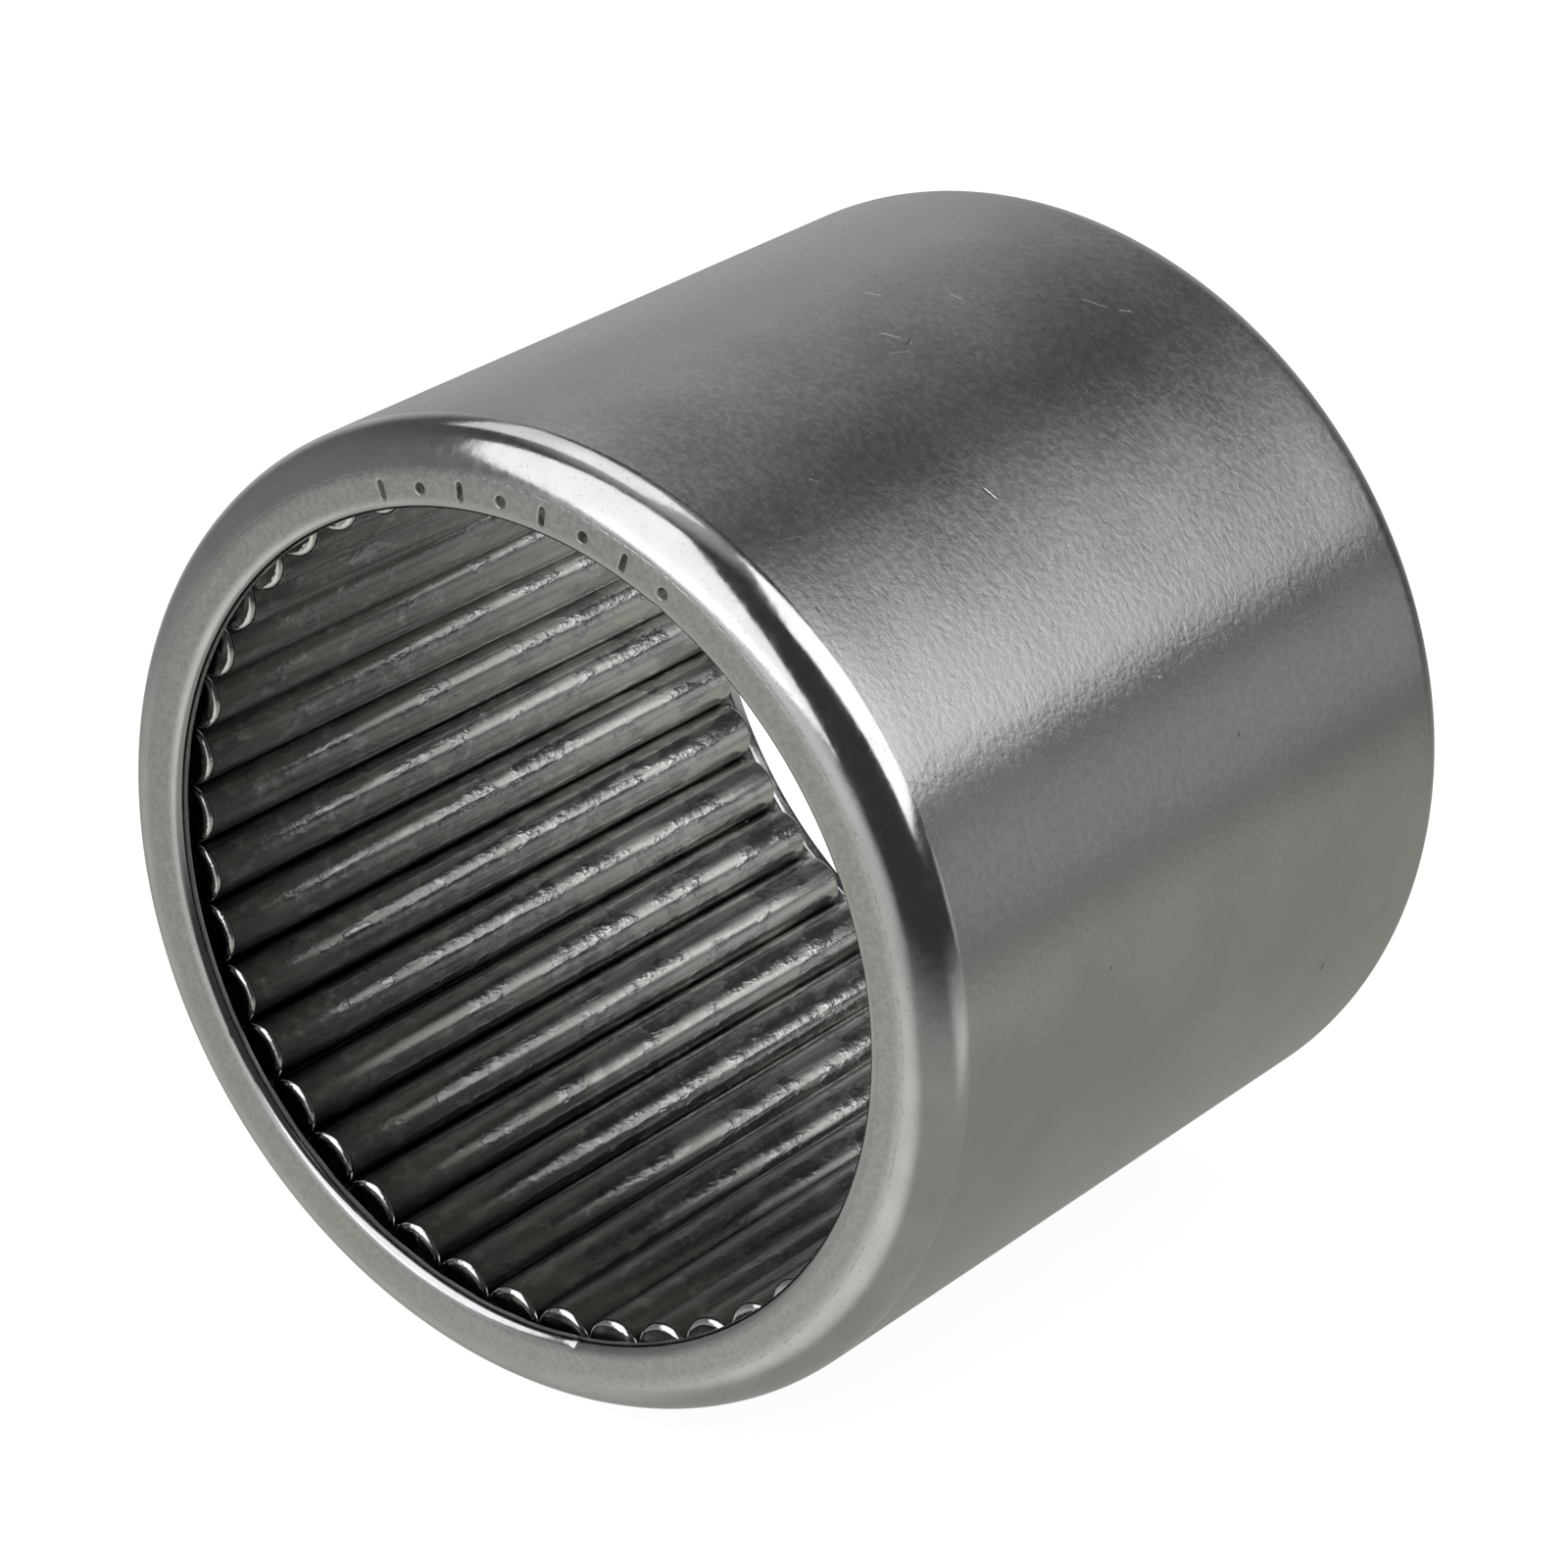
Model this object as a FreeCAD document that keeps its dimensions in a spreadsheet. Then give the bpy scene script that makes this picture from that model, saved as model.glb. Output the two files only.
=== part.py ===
import FreeCAD, Part
import math
import os

import Sketcher

# Full-complement drawn-cup needle roller bearing, 32 x 39 x 34 mm.
#
# The bearing's axis is the Y axis and its centre is the origin. The marked end face looks
# towards -Y, and +Z is up when the bearing lies on its side. A thin cup is drawn from sheet
# steel, and a lip is turned in at each end. Between the lips stands a full set of needle
# rollers, side by side with no cage, which run straight on the cup's hardened wall.

# Driving dimensions: millimetres, and degrees for angles.
SIZES = {
    "outer_diameter": 39.0,
    "cup_width": 34.0,
    "shaft_circle_diameter": 32.0,
    "roller_count": 43,
    "roller_diameter": 2.5,
    "roller_length": 31.6,
    "roller_end_radius": 0.25,
    "roller_setback": 1.4,
    "first_roller_angle": 0.7,
    "raceway_play": 0.015,
    "front_lip_bore": 32.75,
    "front_roll_width": 0.42,
    "front_roll_depth": 0.12,
    "front_roll_radius": 1.0,
    "front_edge_radius": 0.25,
    "rear_lip_bore": 33.8,
    "rear_edge_radius": 0.05,
    "lip_thickness": 0.9,
    "lip_edge_thickness": 0.6,
    "lip_taper": 0.6,
    "back_edge_radius": 0.12,
    "front_corner_radius": 1.9,
    "rear_corner_radius": 1.8,
    "inner_corner_radius": 0.4,
    "mark_circle_diameter": 34.4,
    "mark_start_angle": -18.7,
    "mark_step_angle": 6.3,
    "mark_count": 4,
    "mark_length": 0.76,
    "tick_width": 0.28,
    "dot_diameter": 0.46,
    "mark_depth": 0.05,
}

SHEET = "Sizes"
CUP_NAME = "drawn_cup"
ROLLER_NAME = "needle_roller"
LENGTH_TOLERANCE = 1e-4

document = FreeCAD.newDocument("needle_roller_bearing")


def make_sheet():
    """The spreadsheet that holds every driving dimension under its own alias."""
    sheet = document.addObject("Spreadsheet::Sheet", SHEET)
    for row, (alias, value) in enumerate(SIZES.items(), 1):
        sheet.set(f"A{row}", alias)
        sheet.set(f"B{row}", str(value))
        sheet.setAlias(f"B{row}", alias)
    document.recompute()
    return sheet


def rule(text):
    """An expression on the sheet's aliases, written the way other objects have to name them."""
    for alias in sorted(SIZES, key=len, reverse=True):
        text = text.replace(alias, f"<<{SHEET}>>.{alias}")
    return text


def worth(text):
    """The present value of an expression on the sheet's aliases."""
    value = sheet.evalExpression(text)
    return float(getattr(value, "Value", value))


def new_body(name):
    body = document.addObject("PartDesign::Body", name)
    body.Label = name
    return body


def new_sketch(body, name, plane_role):
    """An empty sketch on one of the body's own origin planes."""
    plane = next(f for f in body.Origin.OriginFeatures if f.Role == plane_role)
    sketch = body.newObject("Sketcher::SketchObject", name)
    sketch.AttachmentSupport = (plane, "")
    sketch.MapMode = "FlatFace"
    return sketch


def bind(sketch, kind, elements, text):
    """Adds one dimension to a sketch and ties it to the sheet."""
    constraint = sketch.addConstraint(Sketcher.Constraint(kind, *elements, worth(text)))
    sketch.setExpression(f"Constraints[{constraint}]", rule(text))


def draw_outline(sketch, corners):
    """A closed outline of straight lines through the corners, each an (x, y) pair of rules.

    A corner that shares a rule with the one before it is levelled with it, and any other
    coordinate is a dimension from the sketch's origin.
    """
    points = [FreeCAD.Vector(worth(x), worth(y), 0) for x, y in corners]
    lines = []
    for start, end in zip(points, points[1:] + points[:1]):
        lines.append(sketch.addGeometry(Part.LineSegment(start, end), False))
    for line, following in zip(lines, lines[1:] + lines[:1]):
        sketch.addConstraint(Sketcher.Constraint("Coincident", line, 2, following, 1))
    for index, (x, y) in enumerate(corners):
        before = corners[index - 1] if index else (None, None)
        if x == before[0]:
            sketch.addConstraint(Sketcher.Constraint("Vertical", lines[index - 1]))
        elif x == "0":
            sketch.addConstraint(Sketcher.Constraint("PointOnObject", lines[index], 1, -2))
        else:
            bind(sketch, "DistanceX", (-1, 1, lines[index], 1), x)
        if y == before[1]:
            sketch.addConstraint(Sketcher.Constraint("Horizontal", lines[index - 1]))
        else:
            bind(sketch, "DistanceY", (-1, 1, lines[index], 1), y)


def revolve(body, sketch, name):
    """Turns a half section a full turn about the sketch's vertical axis."""
    revolution = body.newObject("PartDesign::Revolution", name)
    revolution.Profile = sketch
    revolution.ReferenceAxis = (sketch, ["V_Axis"])
    revolution.Angle = 360
    body.Tip = revolution
    document.recompute()


def round_rims(body, name, radius, rims):
    """Rounds the body's circular edges that have the given (radius, y) rules."""
    wanted = [(worth(r), worth(y)) for r, y in rims]
    base = body.Tip
    edges = []
    for number, edge in enumerate(base.Shape.Edges, 1):
        if not isinstance(edge.Curve, Part.Circle):
            continue
        found = (edge.Curve.Radius, edge.Curve.Center.y)
        if any(math.dist(found, rim) < LENGTH_TOLERANCE for rim in wanted):
            edges.append(f"Edge{number}")
    if len(edges) != len(rims):
        raise RuntimeError(f"{name} found {len(edges)} of {len(rims)} edges")
    fillet = body.newObject("PartDesign::Fillet", name)
    fillet.Base = (base, edges)
    fillet.setExpression("Radius", rule(radius))
    body.Tip = fillet
    document.recompute()


def make_cup():
    """The drawn cup: a thin hardened wall with a lip turned in at each end."""
    wall = "outer_diameter / 2"
    raceway = "shaft_circle_diameter / 2 + roller_diameter + raceway_play"
    front = "-cup_width / 2"
    rear = "cup_width / 2"
    front_bore = "front_lip_bore / 2"
    rear_bore = "rear_lip_bore / 2"
    roll_start = "front_lip_bore / 2 + front_roll_width"
    roll_end = "front_roll_depth - cup_width / 2"
    front_shoulder = "lip_thickness - cup_width / 2"
    rear_shoulder = "cup_width / 2 - lip_thickness"
    front_edge = "lip_edge_thickness - cup_width / 2"
    rear_edge = "cup_width / 2 - lip_edge_thickness"

    body = new_body(CUP_NAME)
    section = new_sketch(body, "cup_section", "XY_Plane")
    draw_outline(
        section,
        [
            (roll_start, front),
            (wall, front),
            (wall, rear),
            (rear_bore, rear),
            (rear_bore, rear_edge),
            ("rear_lip_bore / 2 + lip_taper", rear_shoulder),
            (raceway, rear_shoulder),
            (raceway, front_shoulder),
            ("front_lip_bore / 2 + lip_taper", front_shoulder),
            (front_bore, front_edge),
            (front_bore, roll_end),
        ],
    )
    revolve(body, section, "cup_wall")
    round_rims(body, "front_corner", "front_corner_radius", [(wall, front)])
    round_rims(body, "rear_corner", "rear_corner_radius", [(wall, rear)])
    shoulders = [(raceway, front_shoulder), (raceway, rear_shoulder)]
    round_rims(body, "inner_corners", "inner_corner_radius", shoulders)
    round_rims(body, "front_roll", "front_roll_radius", [(roll_start, front)])
    round_rims(body, "front_edge", "front_edge_radius", [(front_bore, roll_end)])
    round_rims(body, "rear_edge", "rear_edge_radius", [(rear_bore, rear)])
    back_edges = [(front_bore, front_edge), (rear_bore, rear_edge)]
    round_rims(body, "back_edges", "back_edge_radius", back_edges)
    mark_front_face(body, "tick", draw_tick, "mark_start_angle")
    mark_front_face(body, "dot", draw_dot, "mark_start_angle + mark_step_angle")
    return body


def draw_tick(sketch):
    """A short radial slot with round ends, on the sketch's vertical axis."""
    half_width = worth("tick_width / 2")
    half_run = worth("(mark_length - tick_width) / 2")
    middle = worth("mark_circle_diameter / 2")
    up = FreeCAD.Vector(0, 0, 1)
    arcs = []
    lines = []
    for side, turn in ((1, 0), (-1, math.pi)):
        circle = Part.Circle(FreeCAD.Vector(0, middle + side * half_run, 0), up, half_width)
        arc = Part.ArcOfCircle(circle, turn, turn + math.pi)
        start = FreeCAD.Vector(-side * half_width, middle + side * half_run, 0)
        end = FreeCAD.Vector(-side * half_width, middle - side * half_run, 0)
        arcs.append(sketch.addGeometry(arc, False))
        lines.append(sketch.addGeometry(Part.LineSegment(start, end), False))
    outline = [arcs[0], lines[0], arcs[1], lines[1]]
    for piece, following in zip(outline, outline[1:] + outline[:1]):
        sketch.addConstraint(Sketcher.Constraint("Tangent", piece, 2, following, 1))
    for arc in arcs:
        sketch.addConstraint(Sketcher.Constraint("PointOnObject", arc, 3, -2))
    sketch.addConstraint(Sketcher.Constraint("Equal", *arcs))
    bind(sketch, "Radius", (arcs[0],), "tick_width / 2")
    outer_end = "(mark_circle_diameter + mark_length - tick_width) / 2"
    bind(sketch, "DistanceY", (-1, 1, arcs[0], 3), outer_end)
    bind(sketch, "DistanceY", (arcs[1], 3, arcs[0], 3), "mark_length - tick_width")


def draw_dot(sketch):
    """A round dot on the sketch's vertical axis."""
    centre = FreeCAD.Vector(0, worth("mark_circle_diameter / 2"), 0)
    radius = worth("dot_diameter / 2")
    dot = sketch.addGeometry(Part.Circle(centre, FreeCAD.Vector(0, 0, 1), radius), False)
    sketch.addConstraint(Sketcher.Constraint("PointOnObject", dot, 3, -2))
    bind(sketch, "Radius", (dot,), "dot_diameter / 2")
    bind(sketch, "DistanceY", (-1, 1, dot, 3), "mark_circle_diameter / 2")


def mark_front_face(body, name, draw, angle):
    """Sinks one shallow mark into the front lip and repeats it along the lip at every other step."""
    sketch = new_sketch(body, f"{name}_outline", "XZ_Plane")
    sketch.AttachmentOffset = FreeCAD.Placement(
        FreeCAD.Vector(0, 0, worth("cup_width / 2")),
        FreeCAD.Rotation(FreeCAD.Vector(0, 0, 1), -worth(angle)),
    )
    sketch.setExpression("AttachmentOffset.Base.z", rule("cup_width / 2"))
    draw(sketch)
    whole = body.Tip
    pocket = body.newObject("PartDesign::Pocket", f"{name}_pocket")
    pocket.Profile = sketch
    pocket.setExpression("Length", rule("mark_depth"))
    body.Tip = pocket
    document.recompute()
    pattern = body.newObject("PartDesign::PolarPattern", f"{name}_row")
    pattern.Originals = [pocket]
    pattern.Axis = (sketch, ["N_Axis"])
    pattern.Reversed = True
    pattern.Occurrences = int(worth("mark_count"))
    pattern.setExpression("Angle", rule("2 * mark_step_angle * (mark_count - 1)"))
    body.Tip = pattern
    document.recompute()
    single = whole.Shape.Volume - pocket.Shape.Volume
    total = whole.Shape.Volume - pattern.Shape.Volume
    if single <= 0 or abs(total / single - pattern.Occurrences) > 0.01:
        raise RuntimeError(f"{name} row removed {total:.4f} mm3, one mark {single:.4f} mm3")


def make_roller(index):
    """One needle roller, round-ended, standing at its place in the full set."""
    radius = "roller_diameter / 2"
    low = "-roller_length / 2"
    high = "roller_length / 2"
    body = new_body(f"{ROLLER_NAME}_{index + 1:02d}")
    section = new_sketch(body, f"roller_section_{index + 1:02d}", "XY_Plane")
    draw_outline(section, [("0", low), (radius, low), (radius, high), ("0", high)])
    revolve(body, section, f"roller_barrel_{index + 1:02d}")
    ends = [(radius, low), (radius, high)]
    round_rims(body, f"roller_ends_{index + 1:02d}", "roller_end_radius", ends)
    reach = "(shaft_circle_diameter + roller_diameter) / 2"
    angle = f"(first_roller_angle + 360 * {index} / roller_count)"
    body.setExpression("Placement.Base.x", rule(f"{reach} * sin({angle})"))
    body.setExpression("Placement.Base.z", rule(f"{reach} * cos({angle})"))
    middle = "roller_setback + (roller_length - cup_width) / 2"
    body.setExpression("Placement.Base.y", rule(middle))
    return body


def check(bodies):
    """Stops the script if any object failed or any finished shape isn't one valid solid."""
    for thing in document.Objects:
        if {"Invalid", "Error"} & set(thing.State):
            raise RuntimeError(f"{thing.Label} is {thing.State}")
    for body in bodies:
        shape = body.Shape
        if shape.isNull() or not shape.isValid() or len(shape.Solids) != 1:
            raise RuntimeError(f"{body.Label} isn't one valid solid")


sheet = make_sheet()
bodies = [make_cup()]
bodies += [make_roller(index) for index in range(int(worth("roller_count")))]
document.recompute()
check(bodies)

os.makedirs("parts", exist_ok=True)
for body in bodies:
    body.Shape.exportStep(f"parts/{body.Label}.step")
    centre = body.Shape.Solids[0].CenterOfMass
    place = f"({centre.x:.3f}, {centre.y:.3f}, {centre.z:.3f})"
    print(f"{body.Label}: {body.Shape.Volume:.3f} mm3 about {place}")
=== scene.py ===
"""Full-complement needle roller bearing with a drawn cup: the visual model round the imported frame.

Units are metres. The bearing's axis is Y, its marked face looks to -Y, and +Z is up.
"""

import math
import random

import bmesh
import bpy
import numpy as np
from mathutils import Matrix, Vector


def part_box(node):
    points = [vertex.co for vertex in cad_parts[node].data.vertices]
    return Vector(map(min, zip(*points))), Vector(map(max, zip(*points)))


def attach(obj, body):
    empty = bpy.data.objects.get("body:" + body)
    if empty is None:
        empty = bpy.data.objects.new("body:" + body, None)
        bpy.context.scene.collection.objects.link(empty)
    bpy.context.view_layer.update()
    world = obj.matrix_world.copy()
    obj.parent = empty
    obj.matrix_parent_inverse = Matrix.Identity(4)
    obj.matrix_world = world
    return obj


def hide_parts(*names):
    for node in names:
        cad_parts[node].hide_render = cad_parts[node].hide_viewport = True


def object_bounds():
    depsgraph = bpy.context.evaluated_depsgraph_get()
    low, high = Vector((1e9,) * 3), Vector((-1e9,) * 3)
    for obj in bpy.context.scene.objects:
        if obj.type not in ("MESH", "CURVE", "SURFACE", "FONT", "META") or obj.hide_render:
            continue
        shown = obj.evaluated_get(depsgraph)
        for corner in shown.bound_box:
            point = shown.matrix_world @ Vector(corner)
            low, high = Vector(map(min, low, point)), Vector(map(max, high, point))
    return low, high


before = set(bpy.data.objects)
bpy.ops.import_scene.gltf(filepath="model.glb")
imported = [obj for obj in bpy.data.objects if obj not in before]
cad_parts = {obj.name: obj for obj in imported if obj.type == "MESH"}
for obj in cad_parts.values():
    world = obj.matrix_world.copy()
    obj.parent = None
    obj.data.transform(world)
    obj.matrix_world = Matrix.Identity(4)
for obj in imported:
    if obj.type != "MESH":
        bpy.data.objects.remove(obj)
cad_low, cad_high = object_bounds()

MM = 0.001

# Cup section, as in the CAD model but for the front bore's edge, which is a little rounder.
CUP_NODE = "drawn_cup"
WALL_RADIUS = 19.5 * MM
RACEWAY_RADIUS = 18.515 * MM
FRONT_BORE = 16.375 * MM
FRONT_ROLL_WIDTH = 0.42 * MM
FRONT_ROLL_DEPTH = 0.12 * MM
FRONT_ROLL_RADIUS = 1.0 * MM
FRONT_EDGE_RADIUS = 0.38 * MM
REAR_BORE = 16.9 * MM
REAR_EDGE_RADIUS = 0.05 * MM
BACK_EDGE_RADIUS = 0.12 * MM
FRONT_CORNER = 1.9 * MM
REAR_CORNER = 1.8 * MM
INNER_CORNER = 0.4 * MM
LIP_THICKNESS = 0.9 * MM
LIP_EDGE_THICKNESS = 0.6 * MM
LIP_TAPER = 0.6 * MM

# Etched row on the front face: ticks and dots by turns.
MARK_CIRCLE = 17.2 * MM
MARK_START = -18.7
MARK_STEP = 6.3
MARK_COUNT = 4
MARK_LENGTH = 0.76 * MM
TICK_WIDTH = 0.28 * MM
DOT_DIAMETER = 0.46 * MM
MARK_DEPTH = 0.05 * MM
MARK_SLOPE = 0.05 * MM

# Small dents in the front lip's edge: angle from +Z toward +X in degrees, depth. They fade out within
# DENT_REACH of the bore, and push the face in by DENT_SINK of what they push outward.
EDGE_DENTS = ((25.6, 0.08 * MM), (170.2, 0.10 * MM), (-121.0, 0.04 * MM), (78.0, 0.03 * MM))
DENT_WIDTH = 0.22 * MM
DENT_REACH = 0.9 * MM
DENT_SINK = 0.35

# Points of the section this near to the front face take the etched marks.
MARK_ZONE = 0.03 * MM

# Rollers.
ROLLER_COUNT = 43
ROLLER_RADIUS = 1.25 * MM
ROLLER_END_RADIUS = 0.25 * MM
ROLLER_SIDES = 72


# ---------------------------------------------------------------- node helpers

class Nodes:
    """A node tree that grows one call at a time."""

    def __init__(self, tree):
        self.tree = tree

    def add(self, kind, inputs=None, **settings):
        node = self.tree.nodes.new(kind)
        for key, value in settings.items():
            setattr(node, key, value)
        for key, value in (inputs or {}).items():
            self.feed(node.inputs[key], value)
        return node

    def feed(self, socket, value):
        if isinstance(value, bpy.types.NodeSocket):
            self.tree.links.new(value, socket)
        elif isinstance(value, bpy.types.Node):
            self.tree.links.new(value.outputs[0], socket)
        else:
            socket.default_value = value

    def math(self, operation, a, b=0.0):
        return self.add("ShaderNodeMath", {0: a, 1: b}, operation=operation).outputs[0]

    def xyz(self, vector):
        """The three parts of a vector."""
        return self.add("ShaderNodeSeparateXYZ", {0: vector}).outputs

    def remap(self, value, low, high, to_low, to_high):
        """value from low..high to to_low..to_high, with a smooth start and end."""
        inputs = {"Value": value, "From Min": low, "From Max": high, "To Min": to_low, "To Max": to_high}
        return self.add("ShaderNodeMapRange", inputs, interpolation_type="SMOOTHSTEP").outputs[0]

    def mix(self, factor, a, b):
        inputs = {"Factor": factor, 6: a, 7: b}
        return self.add("ShaderNodeMix", inputs, data_type="RGBA").outputs[2]

    def blend(self, factor, a, b):
        return self.add("ShaderNodeMix", {"Factor": factor, 2: a, 3: b}, data_type="FLOAT").outputs[0]

    def stretched(self, source, scale, shift=(0.0, 0.0, 0.0)):
        inputs = {"Vector": source, "Location": shift, "Scale": scale}
        return self.add("ShaderNodeMapping", inputs).outputs[0]

    def noise(self, vector, scale, detail=2.0, rough=0.5):
        inputs = {"Vector": vector, "Scale": scale, "Detail": detail, "Roughness": rough}
        return self.add("ShaderNodeTexNoise", inputs).outputs[0]

    def attribute(self, name):
        return self.add("ShaderNodeAttribute", attribute_name=name).outputs["Fac"]

    def bump(self, height, distance):
        inputs = {"Height": height, "Distance": distance, "Strength": 1.0}
        return self.add("ShaderNodeBump", inputs).outputs[0]

    def cone(self, ray, azimuth, elevation, inner, outer):
        """1 within inner degrees of a direction, falling smoothly to 0 at outer degrees."""
        inputs = {0: ray, 1: direction(azimuth, elevation)}
        aim = self.add("ShaderNodeVectorMath", inputs, operation="DOT_PRODUCT").outputs["Value"]
        return self.remap(aim, math.cos(math.radians(outer)), math.cos(math.radians(inner)), 0.0, 1.0)


class Shader(Nodes):
    """A material round one Principled shader."""

    def __init__(self, name):
        self.material = bpy.data.materials.new(name)
        self.material.use_nodes = True
        super().__init__(self.material.node_tree)
        self.bsdf = self.tree.nodes["Principled BSDF"]

    def surface(self, **values):
        for key, value in values.items():
            self.feed(self.bsdf.inputs[key.replace("_", " ")], value)
        return self.material


def direction(azimuth, elevation):
    """A unit vector. Azimuth is from +Y toward +X, in degrees."""
    a, e = math.radians(azimuth), math.radians(elevation)
    return Vector((math.sin(a) * math.cos(e), math.cos(a) * math.cos(e), math.sin(e)))


def millimetres(shader):
    """The piece's own coordinates, in millimetres."""
    source = shader.add("ShaderNodeTexCoord").outputs["Object"]
    return shader.stretched(source, (1000.0, 1000.0, 1000.0))


def unrolled(shader, place, radius_mm):
    """The wall's surface unrolled: distance round it and along it, in millimetres."""
    x, y, z = shader.xyz(place)
    return shader.math("MULTIPLY", shader.math("ARCTAN2", x, z), radius_mm), y


def scratch_mask(shader, around, along, centre, angle, length, width):
    """1 on a short straight line of that length and width, and 0 away from it."""
    u = shader.math("SUBTRACT", around, centre[0])
    v = shader.math("SUBTRACT", along, centre[1])
    c, s = math.cos(math.radians(angle)), math.sin(math.radians(angle))
    run = shader.math("ADD", shader.math("MULTIPLY", u, c), shader.math("MULTIPLY", v, s))
    off = shader.math("SUBTRACT", shader.math("MULTIPLY", v, c), shader.math("MULTIPLY", u, s))
    near = shader.remap(shader.math("ABSOLUTE", off), 0.0, width, 1.0, 0.0)
    inside = shader.remap(shader.math("ABSOLUTE", run), length * 0.3, length * 0.5, 1.0, 0.0)
    return shader.math("MULTIPLY", near, inside)


# ------------------------------------------------------------------- materials

# Scratches on the wall: place round and along it in mm, angle, length and width in mm.
WALL_SCRATCHES = (
    ((3.6, 5.6), 4.0, 0.8, 0.10),
    ((6.9, 10.2), 30.0, 1.3, 0.08),
    ((7.9, 11.0), 55.0, 0.7, 0.06),
    ((12.2, -3.0), 12.0, 0.8, 0.10),
    ((1.4, 3.3), 20.0, 0.9, 0.07),
    ((4.0, 0.9), 25.0, 1.1, 0.08),
    ((4.8, 1.1), 110.0, 0.8, 0.08),
    ((5.0, 0.2), 62.0, 1.0, 0.07),
    ((8.6, -9.5), 40.0, 0.5, 0.09),
    ((21.0, -0.5), 70.0, 0.6, 0.05),
)

# Dark specks on the wall: place round and along it in mm, and radius in mm.
WALL_SPECKS = (
    ((36.9, 9.7), 0.16),
    ((24.5, 3.1), 0.09),
    ((13.1, -14.3), 0.10),
    ((30.2, -6.4), 0.08),
)


def ground_steel():
    """The outside wall and far corner: satin ground steel with a fine mottle and grinding lines round it."""
    s = Shader("ground_steel")
    place = millimetres(s)
    around, along = unrolled(s, place, WALL_RADIUS / MM)
    mottle = s.noise(place, 3.2, 3.0, 0.6)
    lines = s.noise(s.stretched(place, (0.35, 9.0, 0.35)), 1.0, 3.0, 0.6)
    clouds = s.noise(place, 0.16, 3.0, 0.55)
    scratches = 0.0
    for centre, angle, length, width in WALL_SCRATCHES:
        mark = scratch_mask(s, around, along, centre, angle, length, width)
        scratches = s.math("MAXIMUM", mark, scratches)
    specks = 0.0
    for centre, size in WALL_SPECKS:
        spot = scratch_mask(s, around, along, centre, 0.0, 3.0 * size, size)
        specks = s.math("MAXIMUM", spot, specks)
    tone = s.remap(clouds, 0.3, 0.7, 0.0, 1.0)
    base = s.mix(tone, (0.460, 0.459, 0.449, 1), (0.510, 0.509, 0.498, 1))
    speck = s.remap(mottle, 0.35, 0.68, 0.0, 1.0)
    base = s.mix(s.math("MULTIPLY", speck, 0.06), base, (0.56, 0.56, 0.555, 1))
    base = s.mix(s.math("MULTIPLY", scratches, 0.4), base, (0.92, 0.91, 0.87, 1))
    base = s.mix(s.math("MULTIPLY", specks, 0.8), base, (0.10, 0.10, 0.10, 1))
    rough = s.math("ADD", s.remap(mottle, 0.3, 0.7, 0.22, 0.27), s.math("MULTIPLY", tone, 0.02))
    rough = s.math("SUBTRACT", rough, s.math("MULTIPLY", scratches, 0.08))
    height = s.math("ADD", mottle, s.math("MULTIPLY", lines, 0.12))
    height = s.math("SUBTRACT", height, s.math("MULTIPLY", scratches, 0.8))
    tangent = s.add("ShaderNodeTangent", direction_type="RADIAL", axis="Y")
    return s.surface(
        Base_Color=base,
        Metallic=1.0,
        Roughness=rough,
        Anisotropic=0.65,
        Anisotropic_Rotation=0.25,
        Tangent=tangent,
        Normal=s.bump(height, 0.012 * MM),
    )


# A fine tool mark round the front corner.
TOOL_MARK_RADIUS_MM = 17.92
TOOL_MARK_WIDTH_MM = 0.07


def ring_mask(shader, place):
    """1 on the tool mark's ring, on the bearing's front half, and 0 away from it."""
    x, y, z = shader.xyz(place)
    square = shader.math("ADD", shader.math("POWER", x, 2.0), shader.math("POWER", z, 2.0))
    radius = shader.math("SQRT", square)
    off = shader.math("ABSOLUTE", shader.math("SUBTRACT", radius, TOOL_MARK_RADIUS_MM))
    near = shader.remap(off, 0.0, TOOL_MARK_WIDTH_MM, 1.0, 0.0)
    return shader.math("MULTIPLY", near, shader.math("LESS_THAN", y, 0.0))


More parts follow.
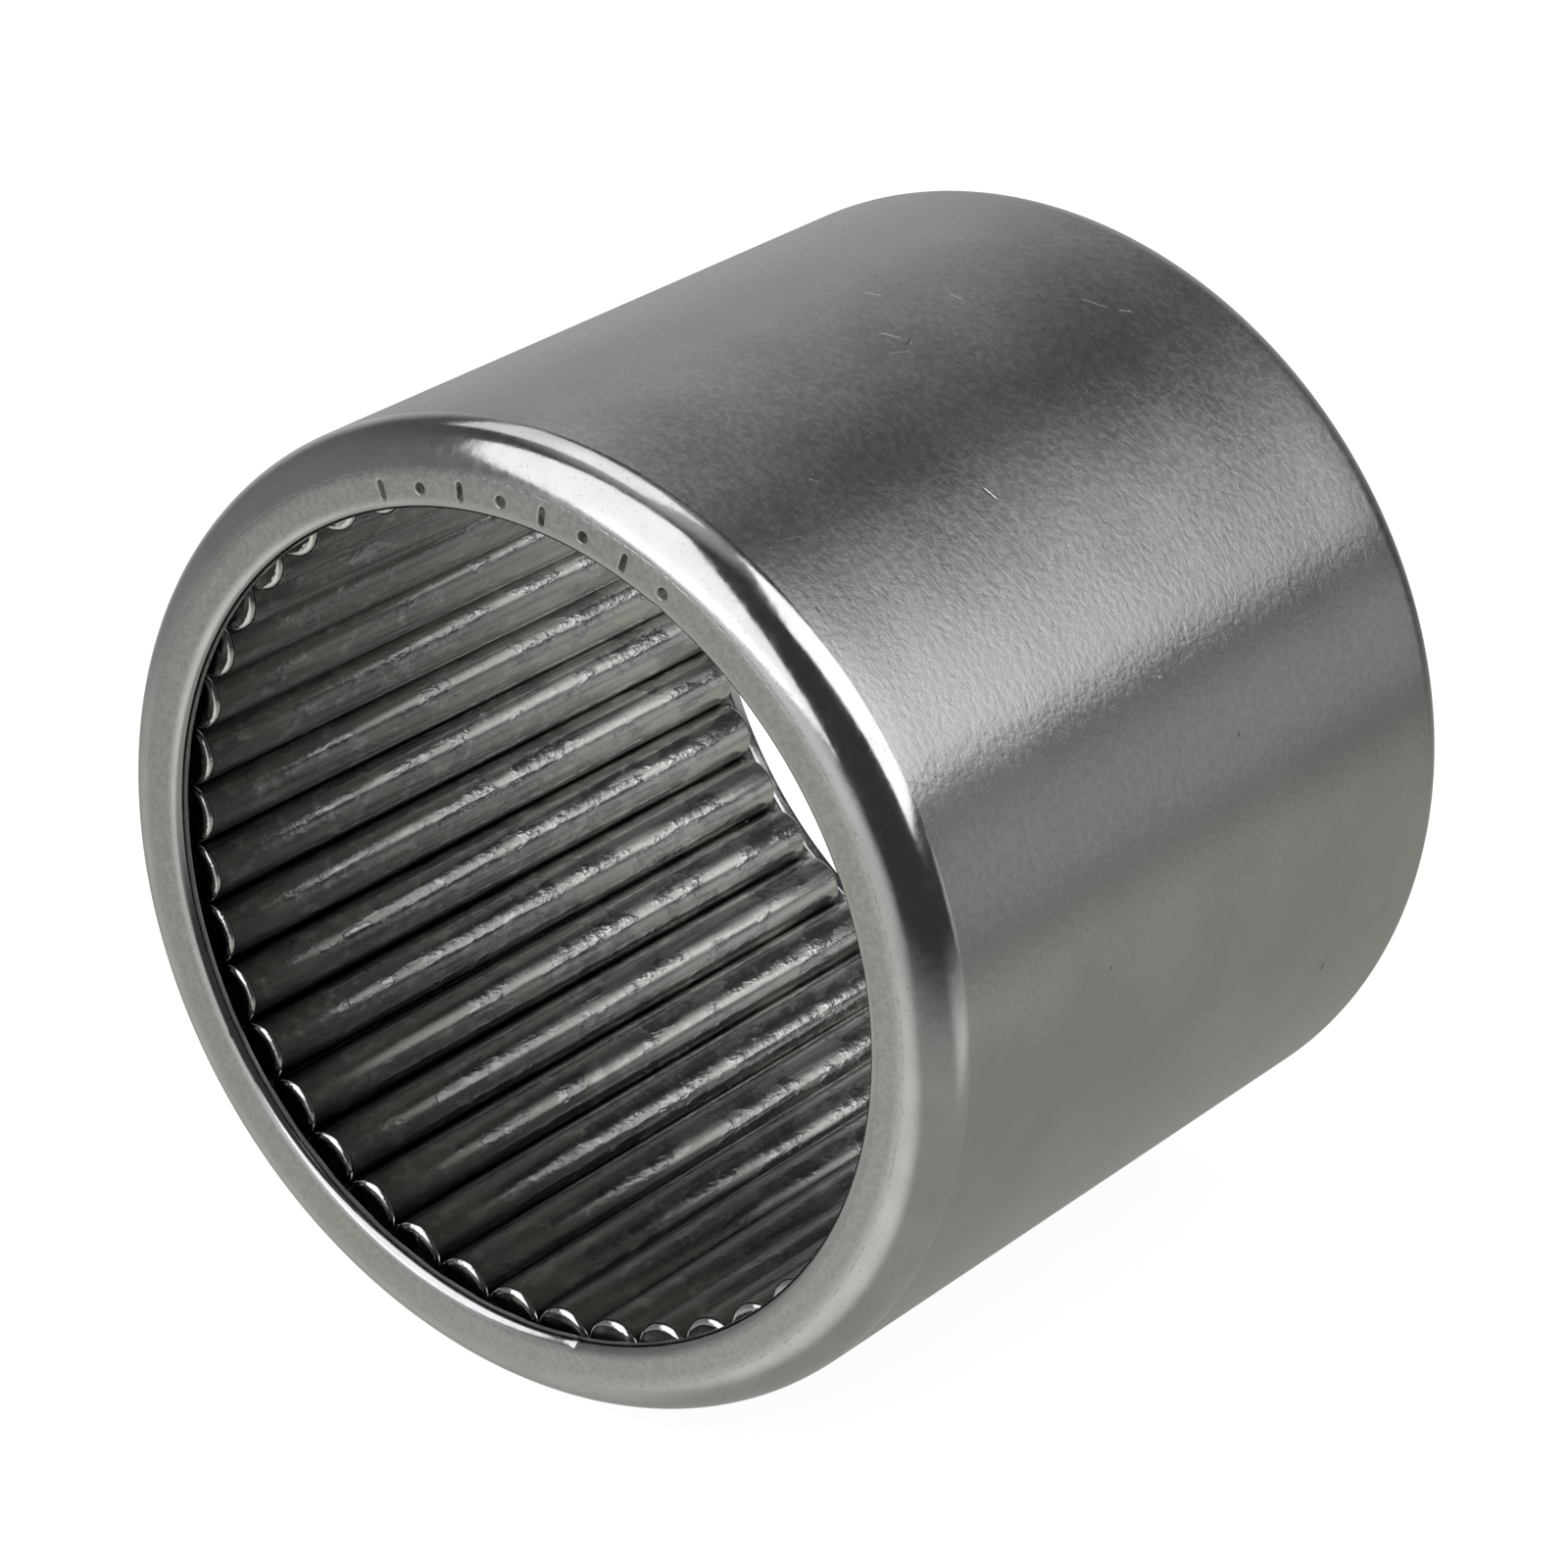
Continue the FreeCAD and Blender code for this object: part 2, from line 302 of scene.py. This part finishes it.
def lip_steel():
    """The lips and front corner: polished where the metal turns, satin on the flat face, dark in marks."""
    s = Shader("lip_steel")
    place = millimetres(s)
    polish = s.attribute("polish")
    etch = s.attribute("etch")
    speckle = s.noise(place, 5.5, 3.0, 0.65)
    clouds = s.noise(place, 0.45, 2.0, 0.5)
    ripple = s.noise(place, 1.1, 2.0, 0.5)
    rubbed = s.noise(place, 2.3, 3.0, 0.7)
    pits = s.remap(s.noise(place, 7.0, 2.0, 0.5), 0.27, 0.36, 1.0, 0.0)
    tool_mark = s.math("MULTIPLY", ring_mask(s, place), s.remap(rubbed, 0.42, 0.62, 0.0, 1.0))
    satin = s.mix(s.remap(speckle, 0.3, 0.7, 0.0, 1.0), (0.44, 0.444, 0.435, 1), (0.52, 0.524, 0.515, 1))
    bright = s.mix(s.remap(clouds, 0.3, 0.7, 0.0, 1.0), (0.53, 0.53, 0.535, 1), (0.59, 0.59, 0.60, 1))
    base = s.mix(polish, satin, bright)
    base = s.mix(s.math("MULTIPLY", pits, 0.35), base, (0.22, 0.22, 0.20, 1))
    stain = s.remap(s.noise(place, 3.0, 2.0, 0.6), 0.35, 0.65, 0.75, 1.0)
    base = s.mix(s.math("MULTIPLY", tool_mark, 0.3), base, (0.25, 0.25, 0.25, 1))
    base = s.mix(s.math("MULTIPLY", etch, stain), base, (0.06, 0.062, 0.05, 1))
    satin_rough = s.remap(speckle, 0.3, 0.7, 0.24, 0.34)
    bright_rough = s.remap(rubbed, 0.35, 0.75, 0.12, 0.19)
    rough = s.blend(polish, satin_rough, bright_rough)
    rough = s.blend(etch, rough, 0.62)
    fine = s.math("MULTIPLY", speckle, s.remap(polish, 0.0, 1.0, 1.0, 0.10))
    height = s.math("ADD", fine, s.math("MULTIPLY", ripple, s.remap(polish, 0.0, 1.0, 0.2, 1.3)))
    height = s.math("ADD", height, s.math("MULTIPLY", etch, s.math("MULTIPLY", speckle, 1.5)))
    height = s.math("SUBTRACT", height, s.math("MULTIPLY", tool_mark, 1.2))
    return s.surface(
        Base_Color=base,
        Metallic=1.0,
        Roughness=rough,
        Normal=s.bump(height, 0.006 * MM),
    )


def raceway_steel():
    """The inside of the cup: honed steel, darker than the outside wall, lighter and darker in patches."""
    s = Shader("raceway_steel")
    place = millimetres(s)
    lines = s.noise(s.stretched(place, (0.5, 7.0, 0.5)), 1.0, 3.0, 0.6)
    film = s.noise(place, 0.9, 3.0, 0.6)
    base = s.mix(s.remap(film, 0.3, 0.7, 0.0, 1.0), (0.27, 0.27, 0.24, 1), (0.40, 0.40, 0.37, 1))
    return s.surface(
        Base_Color=base,
        Metallic=1.0,
        Roughness=s.remap(lines, 0.3, 0.7, 0.22, 0.34),
        Normal=s.bump(lines, 0.003 * MM),
    )


# Along a roller from its middle: where the painted shade toward the marked end starts to fade, where it has
# faded out, and where the bright ends start.
PAINTED_SHADE_FRONT = -9.0 * MM
PAINTED_SHADE_BACK = 15.0 * MM
BRIGHT_END = (15.52 * MM, 15.62 * MM)


def roller_steel():
    """The rollers: tumbled steel, lines round and along each one, and a patchy film of oil.

    The steel is painted dark toward the marked end and bright toward the far end, a painted shade for the
    light that reaches the rollers mostly through the far opening. The rounded ends are kept bright, outside
    the painted shade.
    """
    s = Shader("roller_steel")
    source = s.add("ShaderNodeTexCoord").outputs["Object"]
    chance = s.add("ShaderNodeObjectInfo").outputs["Random"]
    aside, up = s.math("MULTIPLY", chance, 40.0), s.math("MULTIPLY", chance, 23.0)
    shift = s.add("ShaderNodeCombineXYZ", {0: aside, 2: up}).outputs[0]
    place = s.stretched(source, (1000.0, 1000.0, 1000.0), shift=shift)
    lines = s.noise(s.stretched(place, (1.2, 8.0, 1.2)), 1.0, 3.0, 0.6)
    along = s.noise(s.stretched(place, (3.2, 0.22, 3.2)), 1.0, 3.0, 0.6)
    film = s.noise(s.stretched(place, (0.8, 0.30, 0.8)), 1.0, 4.0, 0.65)
    drops = s.noise(s.stretched(place, (1.6, 0.9, 1.6)), 1.0, 3.0, 0.6)
    oily = s.remap(film, 0.46, 0.60, 0.0, 1.0)
    wear = s.remap(along, 0.35, 0.65, 0.0, 1.0)
    position = s.xyz(source)[1]
    # Painted shade: the steel goes from dark at the marked end to bright at the far end, for the light that
    # comes in mostly through the far opening.
    depth = s.remap(position, PAINTED_SHADE_FRONT, PAINTED_SHADE_BACK, 0.0, 1.0)
    ends = s.remap(s.math("ABSOLUTE", position), *BRIGHT_END, 0.0, 1.0)
    shaded_steel = s.mix(wear, (0.19, 0.192, 0.18, 1), (0.26, 0.262, 0.245, 1))
    lit_steel = s.mix(wear, (0.58, 0.582, 0.555, 1), (0.70, 0.702, 0.670, 1))
    base = s.mix(depth, shaded_steel, lit_steel)
    base = s.mix(s.math("MULTIPLY", oily, 0.4), base, (0.15, 0.16, 0.18, 1))
    base = s.mix(s.remap(drops, 0.52, 0.66, 0.0, 0.22), base, (0.72, 0.72, 0.70, 1))
    # The rounded ends are kept bright, outside the painted shade.
    base = s.mix(ends, base, (0.66, 0.66, 0.66, 1))
    rough = s.blend(oily, s.remap(along, 0.3, 0.7, 0.20, 0.26), 0.16)
    rough = s.blend(ends, rough, 0.13)
    height = s.math("ADD", s.math("MULTIPLY", lines, 0.25), s.math("MULTIPLY", along, 0.5))
    height = s.math("ADD", height, s.math("MULTIPLY", drops, s.remap(oily, 0.0, 1.0, 0.9, 2.8)))
    return s.surface(
        Base_Color=base,
        Metallic=1.0,
        Roughness=rough,
        Normal=s.bump(height, 0.008 * MM),
    )


# ------------------------------------------------------------------------- cup

# Fillets up to this radius get fewer steps.
SMALL_FILLET = 0.3 * MM

# Zones of the cup's surface, in the order of its materials.
WALL, LIP, INSIDE = range(3)


def cup_section(front, rear):
    """The closed section as points (radius, y) and the zone of the run that follows each point.

    Each corner has its radius, y, fillet, the fillet's zone, the zone of the run after it and that run's
    longest step.
    """
    inner_front = front + LIP_THICKNESS
    inner_rear = rear - LIP_THICKNESS
    fine, medium, coarse, widest = 0.04 * MM, 0.2 * MM, 1.5 * MM, 3.0 * MM
    corners = (
        (FRONT_BORE + FRONT_ROLL_WIDTH, front, FRONT_ROLL_RADIUS, LIP, LIP, fine),
        (WALL_RADIUS, front, FRONT_CORNER, LIP, WALL, coarse),
        (WALL_RADIUS, rear, REAR_CORNER, WALL, LIP, medium),
        (REAR_BORE, rear, REAR_EDGE_RADIUS, LIP, LIP, medium),
        (REAR_BORE, rear - LIP_EDGE_THICKNESS, BACK_EDGE_RADIUS, LIP, INSIDE, medium),
        (REAR_BORE + LIP_TAPER, inner_rear, 0.0, INSIDE, INSIDE, medium),
        (RACEWAY_RADIUS, inner_rear, INNER_CORNER, INSIDE, INSIDE, widest),
        (RACEWAY_RADIUS, inner_front, INNER_CORNER, INSIDE, INSIDE, medium),
        (FRONT_BORE + LIP_TAPER, inner_front, 0.0, INSIDE, INSIDE, medium),
        (FRONT_BORE, front + LIP_EDGE_THICKNESS, BACK_EDGE_RADIUS, LIP, LIP, fine),
        (FRONT_BORE, front + FRONT_ROLL_DEPTH, FRONT_EDGE_RADIUS, LIP, LIP, fine),
    )
    points, zones = [], []
    for n, (r, y, fillet, arc_zone, run_zone, step) in enumerate(corners):
        here = np.array((r, y))
        to_last = np.array(corners[n - 1][:2]) - here
        to_next = np.array(corners[(n + 1) % len(corners)][:2]) - here
        to_last /= np.linalg.norm(to_last)
        to_next /= np.linalg.norm(to_next)
        turn = math.pi - math.acos(np.clip(to_last @ to_next, -1, 1))
        if fillet:
            reach = fillet * math.tan(turn / 2)
            middle = to_last + to_next
            centre = here + middle / np.linalg.norm(middle) * fillet / math.cos(turn / 2)
            start, end = here + to_last * reach - centre, here + to_next * reach - centre
            step_angle = 4.0 if fillet > SMALL_FILLET else 12.0
            steps = max(2, math.ceil(math.degrees(turn) / step_angle))
            for k in range(steps + 1):
                share = k / steps
                weights = (math.sin((1 - share) * turn), math.sin(share * turn))
                points.append(centre + (weights[0] * start + weights[1] * end) / math.sin(turn))
                zones.append(arc_zone)
        else:
            points.append(here)
            zones.append(arc_zone)
        zones[-1] = run_zone
        following = corners[(n + 1) % len(corners)]
        goal = np.array(following[:2])
        if following[2]:
            after = np.array(corners[(n + 2) % len(corners)][:2]) - goal
            after /= np.linalg.norm(after)
            bend = math.pi - math.acos(np.clip(after @ -to_next, -1, 1))
            goal = goal - to_next * following[2] * math.tan(bend / 2)
        run = goal - points[-1]
        cuts = math.ceil(np.linalg.norm(run) / step)
        for k in range(1, cuts):
            points.append(points[-1] + run / cuts)
            zones.append(run_zone)
    return np.array(points), zones


# Slope from the end face, in degrees, where the polish starts, and over how many degrees it comes in.
POLISH_START = 3.0
POLISH_RANGE = 15.0


def smooth(share):
    """share clipped to 0..1, with a smooth start and end."""
    share = np.clip(share, 0.0, 1.0)
    return share * share * (3 - 2 * share)


def face_polish(points):
    """1 where the section turns away from a flat end face, and 0 on the flat, for each of its points."""
    before, after = np.roll(points, 1, axis=0), np.roll(points, -1, axis=0)
    run = after - before
    tilt = np.degrees(np.arctan2(np.abs(run[:, 1]), np.abs(run[:, 0])))
    return smooth((tilt - POLISH_START) / POLISH_RANGE)


def cup_angles():
    """Angles round the cup in degrees from +Z toward +X, closer together at the marks and dents."""
    coarse, fine, margin = 1.25, 0.13, 1.15
    centres = [MARK_START + n * MARK_STEP for n in range(2 * MARK_COUNT)]
    centres += [angle for angle, _ in EDGE_DENTS]
    angles = np.arange(-180.0, 180.0, coarse)
    angles = [a for a in angles if all(abs(a - centre) > margin + fine for centre in centres)]
    for centre in centres:
        angles += list(np.arange(centre - margin, centre + margin, fine))
    angles = sorted(angles)
    kept = [angles[0]]
    for a in angles[1:]:
        if a - kept[-1] > fine * 0.6:
            kept.append(a)
    return np.radians(kept)


def mark_share(radius, angle):
    """How far a point of the front face is inside an etched mark, from 0 to 1."""
    share = np.zeros(np.broadcast(radius, angle).shape)
    for n in range(2 * MARK_COUNT):
        turn = angle - math.radians(MARK_START + n * MARK_STEP)
        across = radius * np.sin(turn)
        up = radius * np.cos(turn) - MARK_CIRCLE
        if n % 2 == 0:
            up = np.maximum(np.abs(up) - (MARK_LENGTH - TICK_WIDTH) / 2, 0.0)
            outside = np.hypot(across, up) - TICK_WIDTH / 2
        else:
            outside = np.hypot(across, up) - DOT_DIAMETER / 2
        near = np.where(np.cos(turn) > 0.0, smooth(0.5 - outside / MARK_SLOPE), 0.0)
        share = np.maximum(share, near)
    return share


def dent_depth(radius, angle, depth_from_face):
    """How much the front bore's edge is pushed outward at a point: the most in the middle of a dent."""
    depth = np.zeros(np.broadcast(radius, angle).shape)
    for at, deep in EDGE_DENTS:
        turn = np.mod(angle - math.radians(at) + math.pi, 2 * math.pi) - math.pi
        across = FRONT_BORE * turn / DENT_WIDTH
        inward = (radius - FRONT_BORE) / (0.9 * DENT_WIDTH)
        behind = depth_from_face / (1.6 * DENT_WIDTH)
        depth = depth + deep * np.exp(-across ** 2 - inward ** 2 - behind ** 2)
    return depth


def make_cup(materials):
    """The drawn cup as one closed mesh, turned from its section, with etched marks and small dents."""
    low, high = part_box(CUP_NODE)
    section, zones = cup_section(low.y, high.y)
    angles = cup_angles()
    count, columns = len(section), len(angles)
    radius, along = section[:, :1], section[:, 1:]
    turn = angles[None, :]
    shine = np.repeat(face_polish(section), columns)
    on_front = along < low.y + MARK_ZONE
    etch = mark_share(radius, turn) * on_front
    push = dent_depth(radius, turn, along - low.y) * (along < low.y + LIP_EDGE_THICKNESS)
    push = push * (radius < FRONT_BORE + DENT_REACH)
    r = radius + push
    y = along + etch * MARK_DEPTH + DENT_SINK * push * (radius > FRONT_BORE)
    points = np.stack([r * np.sin(turn), y, r * np.cos(turn)], -1).reshape(-1, 3)
    faces = []
    for i in range(count):
        j = (i + 1) % count
        for k in range(columns):
            m = (k + 1) % columns
            faces.append((i * columns + k, i * columns + m, j * columns + m, j * columns + k))
    mesh = bpy.data.meshes.new("cup_shell")
    mesh.from_pydata(points.tolist(), [], faces)
    for name, values in (("polish", shine), ("etch", etch)):
        layer = mesh.attributes.new(name, "FLOAT", "POINT")
        layer.data.foreach_set("value", np.ascontiguousarray(values, dtype=np.float32).ravel())
    for material in materials:
        mesh.materials.append(material)
    mesh.polygons.foreach_set("material_index", np.repeat(zones, columns))
    mesh.polygons.foreach_set("use_smooth", [True] * len(faces))
    mesh.update()
    cup = bpy.data.objects.new("cup_shell", mesh)
    bpy.context.scene.collection.objects.link(cup)
    outward_normals(cup)
    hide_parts(CUP_NODE)
    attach(cup, "outer_cup")


def outward_normals(obj):
    """Turns every face outward."""
    work = bmesh.new()
    work.from_mesh(obj.data)
    bmesh.ops.recalc_face_normals(work, faces=work.faces)
    work.to_mesh(obj.data)
    work.free()


# --------------------------------------------------------------------- rollers

def roller_mesh(name, length, material):
    """One roller turned about Y, with flat ends and rounded edges. Its middle is at the origin."""
    half = length / 2
    flat = ROLLER_RADIUS - ROLLER_END_RADIUS
    section = [(flat * t, -half) for t in (0.35, 0.75)]
    for angle in np.linspace(-90, 0, 8):
        a = math.radians(angle)
        out, along = ROLLER_END_RADIUS * math.cos(a), ROLLER_END_RADIUS * (1 + math.sin(a))
        section.append((flat + out, along - half))
    section += [(ROLLER_RADIUS, y) for y in np.linspace(-half + ROLLER_END_RADIUS, 0, 5)[1:]]
    section += [(r, -y) for r, y in reversed(section[:-1])]
    points = [(0.0, -half, 0.0)]
    for r, y in section:
        for k in range(ROLLER_SIDES):
            a = 2 * math.pi * k / ROLLER_SIDES
            points.append((r * math.sin(a), y, r * math.cos(a)))
    points.append((0.0, half, 0.0))
    last = len(points) - 1
    faces = []
    for k in range(ROLLER_SIDES):
        m = (k + 1) % ROLLER_SIDES
        faces.append((0, 1 + k, 1 + m))
        ring = 1 + (len(section) - 1) * ROLLER_SIDES
        faces.append((last, ring + m, ring + k))
        for i in range(len(section) - 1):
            a = 1 + i * ROLLER_SIDES
            b = a + ROLLER_SIDES
            faces.append((a + k, b + k, b + m, a + m))
    mesh = bpy.data.meshes.new(name)
    mesh.from_pydata(points, [], faces)
    mesh.polygons.foreach_set("use_smooth", [True] * len(faces))
    mesh.materials.append(material)
    mesh.update()
    return mesh


def make_rollers(material):
    """Every roller in its own piece, standing for its CAD node and riding on its body."""
    chance = random.Random(43)
    for number in range(1, ROLLER_COUNT + 1):
        node = f"needle_roller_{number:02d}"
        low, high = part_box(node)
        mesh = roller_mesh(f"roller_pin_{number:02d}", high.y - low.y, material)
        roller = bpy.data.objects.new(f"roller_pin_{number:02d}", mesh)
        bpy.context.scene.collection.objects.link(roller)
        outward_normals(roller)
        spin = Matrix.Rotation(chance.uniform(0, 2 * math.pi), 4, "Y")
        roller.matrix_world = Matrix.Translation((low + high) / 2) @ spin
        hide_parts(node)
        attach(roller, f"roller_{number:02d}")


# ---------------------------------------------------------------- studio light

# Softboxes: name, azimuth, elevation, distance in metres, half width and half height in degrees, roll,
# radiance, colour.
SOFTBOXES = (
    ("key_front", -162.3, 38.8, 0.55, 25.7, 34.1, 25.7, 1.53, (0.985, 0.985, 1.0)),
    ("rear_right", 59.0, 42.8, 0.60, 21.4, 24.2, -3.0, 1.80, (1.0, 1.0, 1.0)),
    ("rear_left", -49.3, 57.0, 0.60, 14.0, 22.2, 21.7, 0.95, (1.0, 1.0, 1.0)),
)

# What the metal sees between the softboxes, for the room and for the table: the level everywhere, and patches
# added to it, each with its azimuth, elevation, inner and outer angle in degrees, and amount.
ROOM = (0.049, (
    (-31.7, -3.4, 5.0, 43.9, 0.44),
    (-36.0, 70.3, 5.0, 30.8, 0.46),
    (-114.4, -23.7, 5.0, 90.0, 0.18),
    (40.7, 0.0, 6.0, 13.0, 0.50),
    (-173.0, -9.7, 5.0, 35.1, 0.67),
))
GROUND = (0.37, (
    (-173.9, -41.2, 8.0, 33.2, 0.47),
    (-110.7, -39.4, 10.0, 39.5, 0.17),
    (61.2, -1.9, 6.0, 32.8, 0.67),
))
GROUND_TINT = (1.0, 1.01, 0.93)

# The room turns into the table between these two elevations.
HORIZON = (-2.3, -28.9)


def make_lights():
    for name, azimuth, elevation, distance, half_width, half_height, roll, radiance, colour in SOFTBOXES:
        lamp = bpy.data.lights.new(name, "AREA")
        lamp.shape = "RECTANGLE"
        lamp.size = 2 * distance * math.tan(math.radians(half_width))
        lamp.size_y = 2 * distance * math.tan(math.radians(half_height))
        lamp.energy = radiance * math.pi * lamp.size * lamp.size_y  # watts that give that radiance
        lamp.color = colour
        holder = bpy.data.objects.new(name, lamp)
        bpy.context.scene.collection.objects.link(holder)
        away = direction(azimuth, elevation)
        holder.location = away * distance
        turn = away.to_track_quat("Z", "Y").to_matrix() @ Matrix.Rotation(math.radians(roll), 3, "Z")
        holder.rotation_euler = turn.to_euler()
        holder.visible_camera = False


def make_world():
    """The studio that the metal reflects: a dim room with a few pale patches, over a mid grey table.

    The camera sees it white.
    """
    world = bpy.data.worlds.new("studio")
    world.use_nodes = True
    bpy.context.scene.world = world
    n = Nodes(world.node_tree)
    ray = n.add("ShaderNodeTexCoord").outputs["Generated"]
    levels = []
    for base, cones in (ROOM, GROUND):
        level = base
        for azimuth, elevation, inner, outer, amount in cones:
            patch = n.cone(ray, azimuth, elevation, inner, outer)
            level = n.math("ADD", level, n.math("MULTIPLY", patch, amount))
        levels.append(level)
    height = n.xyz(ray)[2]
    top, bottom = (math.sin(math.radians(angle)) for angle in HORIZON)
    below = n.remap(height, bottom, top, 1.0, 0.0)
    level = n.blend(below, levels[0], levels[1])
    tint = n.mix(below, (1, 1, 1, 1), (*GROUND_TINT, 1))
    colour = n.add("ShaderNodeVectorMath", {0: tint, 3: level}, operation="SCALE").outputs[0]
    seen = n.add("ShaderNodeLightPath").outputs["Is Camera Ray"]
    background = world.node_tree.nodes["Background"]
    n.feed(background.inputs["Color"], n.mix(seen, colour, (1.0, 1.0, 1.0, 1)))


def make_floor():
    """A plain pale floor under the bearing. The metal reflects the world's table instead of it."""
    s = Shader("pale_floor")
    mesh = bpy.data.meshes.new("floor")
    half = 6.0  # metres, so that the floor's edge is far off in every view
    z = cad_low.z
    corners = [(-half, -half, z), (half, -half, z), (half, half, z), (-half, half, z)]
    mesh.from_pydata(corners, [], [(0, 1, 2, 3)])
    floor = bpy.data.objects.new("floor", mesh)
    bpy.context.scene.collection.objects.link(floor)
    tone = s.noise(s.add("ShaderNodeTexCoord").outputs["Object"], 2.0)
    s.surface(Base_Color=(0.24, 0.24, 0.24, 1), Roughness=s.remap(tone, 0.3, 0.7, 0.75, 0.85))
    s.surface(Specular_IOR_Level=0.0, Emission_Color=(1, 1, 1, 1), Emission_Strength=0.92)
    mesh.materials.append(s.material)
    floor.visible_glossy = False
    floor.visible_shadow = False


# --------------------------------------------------------------------- camera

CAMERA_AZIMUTH = 37.41
CAMERA_ELEVATION = 24.72
CAMERA_DISTANCE = 229.88 * MM
CAMERA_RIGHT = -0.2035 * MM
CAMERA_UP = -0.0386 * MM
CAMERA_LENS = 136.26


def make_camera():
    """A long lens from the front, right and above, aimed at the middle of the bearing."""
    azimuth, elevation = math.radians(CAMERA_AZIMUTH), math.radians(CAMERA_ELEVATION)
    right = Vector((math.cos(azimuth), math.sin(azimuth), 0.0))
    forward = Vector((
        -math.sin(azimuth) * math.cos(elevation),
        math.cos(azimuth) * math.cos(elevation),
        -math.sin(elevation),
    ))
    up = right.cross(forward)
    lens = bpy.data.cameras.new("camera")
    lens.lens = CAMERA_LENS
    lens.sensor_width = 36.0
    lens.clip_start = 0.01
    camera = bpy.data.objects.new("camera", lens)
    bpy.context.scene.collection.objects.link(camera)
    place = right * CAMERA_RIGHT + up * CAMERA_UP - forward * CAMERA_DISTANCE
    turn = Matrix((right, up, -forward)).transposed().to_4x4()
    camera.matrix_world = Matrix.Translation(place) @ turn
    bpy.context.scene.camera = camera


make_camera()
make_cup([ground_steel(), lip_steel(), raceway_steel()])
make_rollers(roller_steel())
make_lights()
make_world()
make_floor()
bpy.context.scene.view_settings.view_transform = "Standard"
